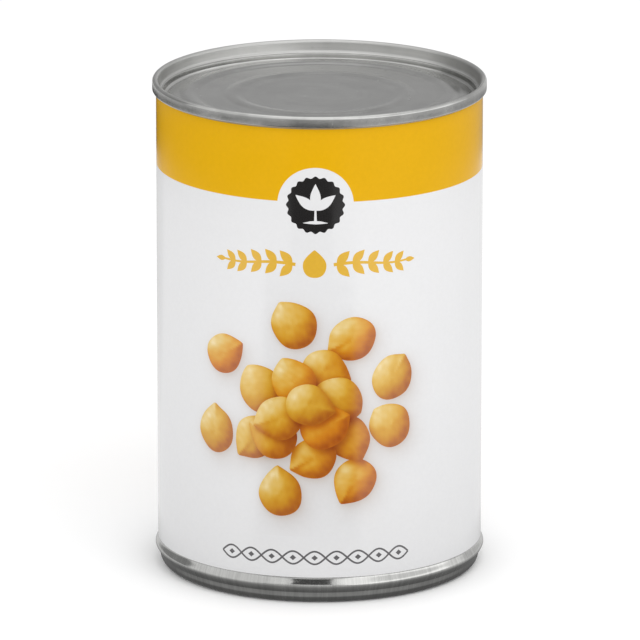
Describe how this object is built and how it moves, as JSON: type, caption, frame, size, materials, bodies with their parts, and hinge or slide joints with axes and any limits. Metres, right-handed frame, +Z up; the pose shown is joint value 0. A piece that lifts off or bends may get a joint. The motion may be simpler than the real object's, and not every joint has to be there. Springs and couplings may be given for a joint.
{
  "type": "can of chickpeas",
  "caption": "Shut steel food can of chickpeas with a seamed, ringed top end, a one-piece flared foot and a paper sleeve label in white and yellow.",
  "frame": {"origin": "on the can's axis at the level of the face that it stands on", "axes": "+Z up along the can's axis, -Y out of the front of the label, +X to the right of the label as it is read"},
  "size_m": [0.0762, 0.0762, 0.114],
  "materials": {
    "body_steel": "bright tinned steel, drawn, with fine scuffs",
    "end_steel": "bright tinned steel, pressed, satin panel and shiny seam",
    "label_paper": "coated paper, semi-gloss, white with a yellow band and printed picture"
  },
  "bodies": {
    "root": {"can_body": "body_steel", "top_end": "end_steel", "label": "label_paper"}
  },
  "joints": []
}
